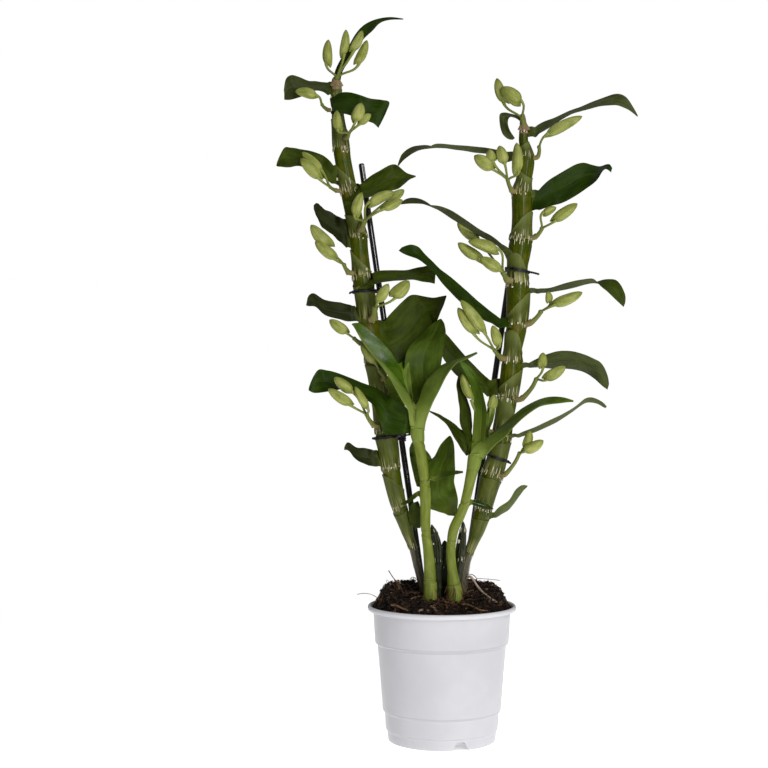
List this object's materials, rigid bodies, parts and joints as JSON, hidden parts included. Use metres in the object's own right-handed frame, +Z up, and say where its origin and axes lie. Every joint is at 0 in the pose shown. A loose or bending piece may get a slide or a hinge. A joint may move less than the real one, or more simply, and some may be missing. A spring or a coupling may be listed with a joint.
{
  "type": "potted dendrobium orchid",
  "caption": "Dendrobium orchid in bud: tall leaning canes tied to thin stakes, leafy young shoots and old stumps in a round tapered pot filled with bark and coir.",
  "frame": {"origin": "centre of the flat underside of the pot, on the surface it stands on", "axes": "+Z up along the pot's axis, -Y towards the side the picture is taken from, +X to the right seen from there"},
  "size_m": [0.2918, 0.12, 0.5859],
  "materials": {
    "pot_plastic": "satin",
    "coir_and_bark": "matte",
    "leaf_dark": "satin",
    "leaf_young": "satin",
    "cane": "satin",
    "shoot_stem": "satin",
    "old_cane": "matte",
    "bud": "satin",
    "stake_plastic": "satin",
    "tie_wire": "matte"
  },
  "bodies": {
    "root": {"buds_left_01": "bud", "buds_left_02": "bud", "buds_left_03": "bud", "buds_left_04": "bud", "buds_left_05": "bud", "buds_left_06": "bud", "buds_left_07": "bud", "buds_left_08": "bud", "buds_left_10": "bud", "buds_right_01": "bud", "buds_right_02": "bud", "buds_right_03": "bud", "buds_right_04": "bud", "buds_right_05": "bud", "buds_right_06": "bud", "buds_right_07": "bud", "buds_right_08": "bud", "buds_right_10": "bud", "cane_left": "cane", "cane_right": "cane", "growing_medium": "coir_and_bark", "leaf_left_01": "leaf_dark", "leaf_left_02": "leaf_dark", "leaf_left_03": "leaf_dark", "leaf_left_04": "leaf_dark", "leaf_left_05": "leaf_dark", "leaf_left_06": "leaf_dark", "leaf_left_07": "leaf_dark", "leaf_left_08": "leaf_dark", "leaf_left_09": "leaf_dark", "leaf_left_10": "leaf_dark", "leaf_left_11": "leaf_dark", "leaf_right_02": "leaf_dark", "leaf_right_03": "leaf_dark", "leaf_right_04": "leaf_dark", "leaf_right_05": "leaf_dark", "leaf_right_06": "leaf_dark", "leaf_right_07": "leaf_dark", "leaf_right_08": "leaf_dark", "leaf_right_09": "leaf_dark", "leaf_right_10": "leaf_dark", "leaf_right_11": "leaf_dark", "old_canes": "old_cane", "pot": "pot_plastic", "shoot_left": "shoot_stem", "shoot_left_leaf_1": "leaf_young", "shoot_left_leaf_2": "leaf_young", "shoot_left_leaf_4": "leaf_young", "shoot_left_leaf_5": "leaf_young", "shoot_right": "shoot_stem", "shoot_right_leaf_1": "leaf_young", "shoot_right_leaf_2": "leaf_young", "shoot_right_leaf_4": "leaf_young", "shoot_right_leaf_6": "leaf_young", "stake_left": "stake_plastic", "stake_right": "stake_plastic", "tie_left_lower": "tie_wire", "tie_left_upper": "tie_wire", "tie_right_lower": "tie_wire", "tie_right_upper": "tie_wire"}
  },
  "joints": []
}
